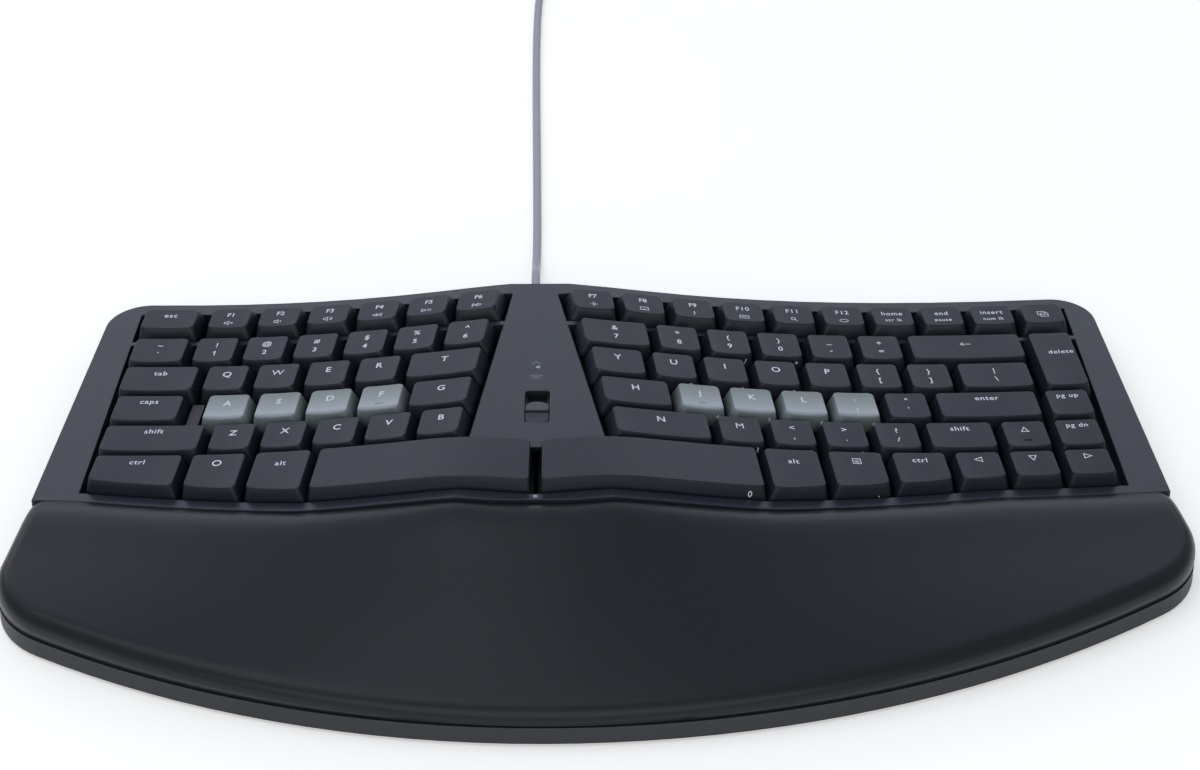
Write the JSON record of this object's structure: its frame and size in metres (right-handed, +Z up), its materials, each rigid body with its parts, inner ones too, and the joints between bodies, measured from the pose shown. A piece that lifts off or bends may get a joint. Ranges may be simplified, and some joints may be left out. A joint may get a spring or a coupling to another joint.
{
  "type": "ergonomic keyboard",
  "caption": "Split ergonomic desk keyboard with two wave-shaped key fields, a centre wedge with a sliding mode switch, a joined palm rest and a rear cord.",
  "frame": {"origin": "middle of the body's footprint, on the desk plane that the rubber feet stand on", "axes": "+X to the user's right, +Y away from the user towards the cord, +Z up"},
  "size_m": [0.4118, 0.607, 0.0423],
  "materials": {
    "base_plastic": "fine texture, charcoal",
    "case_plastic": "fine satin texture, charcoal",
    "palm_coating": "soft-touch coating, near black",
    "plate_steel": "dark coated sheet",
    "board_laminate": "solder mask",
    "switch_plastic": "moulded",
    "filler_plastic": "moulded",
    "battery_wrap": "wrapped cell",
    "knob_plastic": "moulded, satin",
    "lens_plastic": "clear diffuser",
    "screw_steel": "dark steel",
    "foot_rubber": "solid rubber",
    "cap_plastic": "fine textured keycap",
    "home_cap_plastic": "grey-green keycap, slightly clear",
    "relief_rubber": "soft grip",
    "cord_jacket": "smooth grey-violet jacket",
    "tie_strap": "soft strap",
    "plug_steel": "formed plug shell"
  },
  "bodies": {
    "keyboard_body": {"base_case": "base_plastic", "key_case": "case_plastic", "palm_rest": "palm_coating", "switch_plate_left": "plate_steel", "switch_plate_right": "plate_steel", "circuit_board_left": "board_laminate", "circuit_board_right": "board_laminate", "switch_bodies": "switch_plastic", "filler_block": "filler_plastic", "controller_board": "board_laminate", "battery": "battery_wrap", "mode_switch_body": "switch_plastic", "light_pipes": "lens_plastic", "case_screws": "screw_steel", "rubber_feet": "foot_rubber", "strain_relief": "relief_rubber", "cord_lead": "cord_jacket", "cord_coil": "cord_jacket", "cord_tail": "cord_jacket", "coil_tie": "tie_strap", "plug_overmold": "relief_rubber", "plug_shell": "plug_steel"},
    "function_keys_left": {"function_keys_left": "cap_plastic"},
    "escape_key": {"escape_key": "cap_plastic"},
    "number_keys_left": {"number_keys_left": "cap_plastic"},
    "upper_letters_left": {"upper_letters_left": "cap_plastic"},
    "tab_key": {"tab_key": "cap_plastic"},
    "g_key": {"g_key": "cap_plastic"},
    "home_keys_left": {"home_keys_left": "home_cap_plastic"},
    "caps_lock_key": {"caps_lock_key": "cap_plastic"},
    "lower_letters_left": {"lower_letters_left": "cap_plastic"},
    "left_shift_key": {"left_shift_key": "cap_plastic"},
    "left_alt_key": {"left_alt_key": "cap_plastic"},
    "left_system_key": {"left_system_key": "cap_plastic"},
    "left_control_key": {"left_control_key": "cap_plastic"},
    "function_keys_right": {"function_keys_right": "cap_plastic"},
    "navigation_keys": {"navigation_keys": "cap_plastic"},
    "number_keys_right": {"number_keys_right": "cap_plastic"},
    "backspace_key": {"backspace_key": "cap_plastic"},
    "delete_key": {"delete_key": "cap_plastic"},
    "upper_letters_right": {"upper_letters_right": "cap_plastic"},
    "h_and_quote_keys": {"h_and_quote_keys": "cap_plastic"},
    "home_keys_right": {"home_keys_right": "home_cap_plastic"},
    "enter_key": {"enter_key": "cap_plastic"},
    "page_up_key": {"page_up_key": "cap_plastic"},
    "lower_letters_right": {"lower_letters_right": "cap_plastic"},
    "right_shift_key": {"right_shift_key": "cap_plastic"},
    "arrow_up_key": {"arrow_up_key": "cap_plastic"},
    "page_down_key": {"page_down_key": "cap_plastic"},
    "right_alt_key": {"right_alt_key": "cap_plastic"},
    "menu_key": {"menu_key": "cap_plastic"},
    "right_control_key": {"right_control_key": "cap_plastic"},
    "arrow_left_key": {"arrow_left_key": "cap_plastic"},
    "arrow_down_key": {"arrow_down_key": "cap_plastic"},
    "arrow_right_key": {"arrow_right_key": "cap_plastic"},
    "space_key_left": {"space_key_left": "cap_plastic"},
    "space_key_right": {"space_key_right": "cap_plastic"},
    "mode_switch_knob": {"mode_switch_knob": "knob_plastic"},
    "tilt_foot_left": {"tilt_foot_left": "base_plastic"},
    "tilt_foot_right": {"tilt_foot_right": "base_plastic"}
  },
  "joints": [
    {"name": "function_keys_left_press", "type": "slide", "parent": "keyboard_body", "child": "function_keys_left", "axis": [0.1529, -0.0181, -0.9881], "range_m": [0, 0.003], "stiffness_N_per_m": 960, "springref_m": -0.001},
    {"name": "escape_key_press", "type": "slide", "parent": "keyboard_body", "child": "escape_key", "axis": [0.0729, -0.0086, -0.9973], "range_m": [0, 0.003], "stiffness_N_per_m": 160, "springref_m": -0.001},
    {"name": "number_keys_left_press", "type": "slide", "parent": "keyboard_body", "child": "number_keys_left", "axis": [0.1411, -0.0167, -0.9899], "range_m": [0, 0.003], "stiffness_N_per_m": 1120, "springref_m": -0.001},
    {"name": "upper_letters_left_press", "type": "slide", "parent": "keyboard_body", "child": "upper_letters_left", "axis": [0.1527, -0.0181, -0.9881], "range_m": [0, 0.003], "stiffness_N_per_m": 800, "springref_m": -0.001},
    {"name": "tab_key_press", "type": "slide", "parent": "keyboard_body", "child": "tab_key", "axis": [0.0777, -0.0092, -0.9969], "range_m": [0, 0.003], "stiffness_N_per_m": 160, "springref_m": -0.001},
    {"name": "g_key_press", "type": "slide", "parent": "keyboard_body", "child": "g_key", "axis": [0.1952, -0.0231, -0.9805], "range_m": [0, 0.003], "stiffness_N_per_m": 160, "springref_m": -0.001},
    {"name": "home_keys_left_press", "type": "slide", "parent": "keyboard_body", "child": "home_keys_left", "axis": [0.1476, -0.0175, -0.9889], "range_m": [0, 0.003], "stiffness_N_per_m": 640, "springref_m": -0.001},
    {"name": "caps_lock_key_press", "type": "slide", "parent": "keyboard_body", "child": "caps_lock_key", "axis": [0.0775, -0.0092, -0.9969], "range_m": [0, 0.003], "stiffness_N_per_m": 160, "springref_m": -0.001},
    {"name": "lower_letters_left_press", "type": "slide", "parent": "keyboard_body", "child": "lower_letters_left", "axis": [0.1631, -0.0193, -0.9864], "range_m": [0, 0.003], "stiffness_N_per_m": 800, "springref_m": -0.001},
    {"name": "left_shift_key_press", "type": "slide", "parent": "keyboard_body", "child": "left_shift_key", "axis": [0.0838, -0.0099, -0.9964], "range_m": [0, 0.003], "stiffness_N_per_m": 160, "springref_m": -0.001},
    {"name": "left_alt_key_press", "type": "slide", "parent": "keyboard_body", "child": "left_alt_key", "axis": [0.1459, -0.0173, -0.9891], "range_m": [0, 0.003], "stiffness_N_per_m": 160, "springref_m": -0.001},
    {"name": "left_system_key_press", "type": "slide", "parent": "keyboard_body", "child": "left_system_key", "axis": [0.1146, -0.0136, -0.9933], "range_m": [0, 0.003], "stiffness_N_per_m": 160, "springref_m": -0.001},
    {"name": "left_control_key_press", "type": "slide", "parent": "keyboard_body", "child": "left_control_key", "axis": [0.0819, -0.0097, -0.9966], "range_m": [0, 0.003], "stiffness_N_per_m": 160, "springref_m": -0.001},
    {"name": "function_keys_right_press", "type": "slide", "parent": "keyboard_body", "child": "function_keys_right", "axis": [-0.1517, -0.018, -0.9883], "range_m": [0, 0.003], "stiffness_N_per_m": 960, "springref_m": -0.001},
    {"name": "navigation_keys_press", "type": "slide", "parent": "keyboard_body", "child": "navigation_keys", "axis": [-0.0571, -0.0068, -0.9983], "range_m": [0, 0.003], "stiffness_N_per_m": 640, "springref_m": -0.001},
    {"name": "number_keys_right_press", "type": "slide", "parent": "keyboard_body", "child": "number_keys_right", "axis": [-0.1446, -0.0171, -0.9893], "range_m": [0, 0.003], "stiffness_N_per_m": 960, "springref_m": -0.001},
    {"name": "backspace_key_press", "type": "slide", "parent": "keyboard_body", "child": "backspace_key", "axis": [-0.0595, -0.007, -0.9982], "range_m": [0, 0.003], "stiffness_N_per_m": 160, "springref_m": -0.001},
    {"name": "delete_key_press", "type": "slide", "parent": "keyboard_body", "child": "delete_key", "axis": [-0.038, -0.0045, -0.9993], "range_m": [0, 0.003], "stiffness_N_per_m": 160, "springref_m": -0.001},
    {"name": "upper_letters_right_press", "type": "slide", "parent": "keyboard_body", "child": "upper_letters_right", "axis": [-0.1285, -0.0152, -0.9916], "range_m": [0, 0.003], "stiffness_N_per_m": 1280, "springref_m": -0.001},
    {"name": "h_and_quote_keys_press", "type": "slide", "parent": "keyboard_body", "child": "h_and_quote_keys", "axis": [-0.1401, -0.0166, -0.99], "range_m": [0, 0.003], "stiffness_N_per_m": 320, "springref_m": -0.001},
    {"name": "home_keys_right_press", "type": "slide", "parent": "keyboard_body", "child": "home_keys_right", "axis": [-0.1448, -0.0171, -0.9893], "range_m": [0, 0.003], "stiffness_N_per_m": 640, "springref_m": -0.001},
    {"name": "enter_key_press", "type": "slide", "parent": "keyboard_body", "child": "enter_key", "axis": [-0.0592, -0.007, -0.9982], "range_m": [0, 0.003], "stiffness_N_per_m": 160, "springref_m": -0.001},
    {"name": "page_up_key_press", "type": "slide", "parent": "keyboard_body", "child": "page_up_key", "axis": [-0.0393, -0.0047, -0.9992], "range_m": [0, 0.003], "stiffness_N_per_m": 160, "springref_m": -0.001},
    {"name": "lower_letters_right_press", "type": "slide", "parent": "keyboard_body", "child": "lower_letters_right", "axis": [-0.1426, -0.0169, -0.9896], "range_m": [0, 0.003], "stiffness_N_per_m": 800, "springref_m": -0.001},
    {"name": "right_shift_key_press", "type": "slide", "parent": "keyboard_body", "child": "right_shift_key", "axis": [-0.0704, -0.0083, -0.9975], "range_m": [0, 0.003], "stiffness_N_per_m": 160, "springref_m": -0.001},
    {"name": "arrow_up_key_press", "type": "slide", "parent": "keyboard_body", "child": "arrow_up_key", "axis": [-0.0518, -0.0061, -0.9986], "range_m": [0, 0.003], "stiffness_N_per_m": 160, "springref_m": -0.001},
    {"name": "page_down_key_press", "type": "slide", "parent": "keyboard_body", "child": "page_down_key", "axis": [-0.0398, -0.0047, -0.9992], "range_m": [0, 0.003], "stiffness_N_per_m": 160, "springref_m": -0.001},
    {"name": "right_alt_key_press", "type": "slide", "parent": "keyboard_body", "child": "right_alt_key", "axis": [-0.1456, -0.0172, -0.9892], "range_m": [0, 0.003], "stiffness_N_per_m": 160, "springref_m": -0.001},
    {"name": "menu_key_press", "type": "slide", "parent": "keyboard_body", "child": "menu_key", "axis": [-0.1148, -0.0136, -0.9933], "range_m": [0, 0.003], "stiffness_N_per_m": 160, "springref_m": -0.001},
    {"name": "right_control_key_press", "type": "slide", "parent": "keyboard_body", "child": "right_control_key", "axis": [-0.0882, -0.0104, -0.996], "range_m": [0, 0.003], "stiffness_N_per_m": 160, "springref_m": -0.001},
    {"name": "arrow_left_key_press", "type": "slide", "parent": "keyboard_body", "child": "arrow_left_key", "axis": [-0.0677, -0.008, -0.9977], "range_m": [0, 0.003], "stiffness_N_per_m": 160, "springref_m": -0.001},
    {"name": "arrow_down_key_press", "type": "slide", "parent": "keyboard_body", "child": "arrow_down_key", "axis": [-0.0524, -0.0062, -0.9986], "range_m": [0, 0.003], "stiffness_N_per_m": 160, "springref_m": -0.001},
    {"name": "arrow_right_key_press", "type": "slide", "parent": "keyboard_body", "child": "arrow_right_key", "axis": [-0.0401, -0.0047, -0.9992], "range_m": [0, 0.003], "stiffness_N_per_m": 160, "springref_m": -0.001},
    {"name": "space_key_left_press", "type": "slide", "parent": "keyboard_body", "child": "space_key_left", "axis": [0.2004, -0.0237, -0.9794], "range_m": [0, 0.003], "stiffness_N_per_m": 260, "springref_m": -0.001},
    {"name": "space_key_right_press", "type": "slide", "parent": "keyboard_body", "child": "space_key_right", "axis": [-0.2004, -0.0237, -0.9794], "range_m": [0, 0.003], "stiffness_N_per_m": 260, "springref_m": -0.001},
    {"name": "mode_switch_slide", "type": "slide", "parent": "keyboard_body", "child": "mode_switch_knob", "axis": [0, 1, 0], "range_m": [0, 0.0072]},
    {"name": "tilt_foot_left_fold", "type": "hinge", "parent": "keyboard_body", "child": "tilt_foot_left", "pos_m": [-0.13491, 0.09606, 0.0029], "axis": [0.9931, -0.1175, 0], "range_deg": [0, 100]},
    {"name": "tilt_foot_right_fold", "type": "hinge", "parent": "keyboard_body", "child": "tilt_foot_right", "pos_m": [0.13625, 0.10148, 0.0029], "axis": [0.9931, 0.1175, 0], "range_deg": [0, 100]}
  ]
}
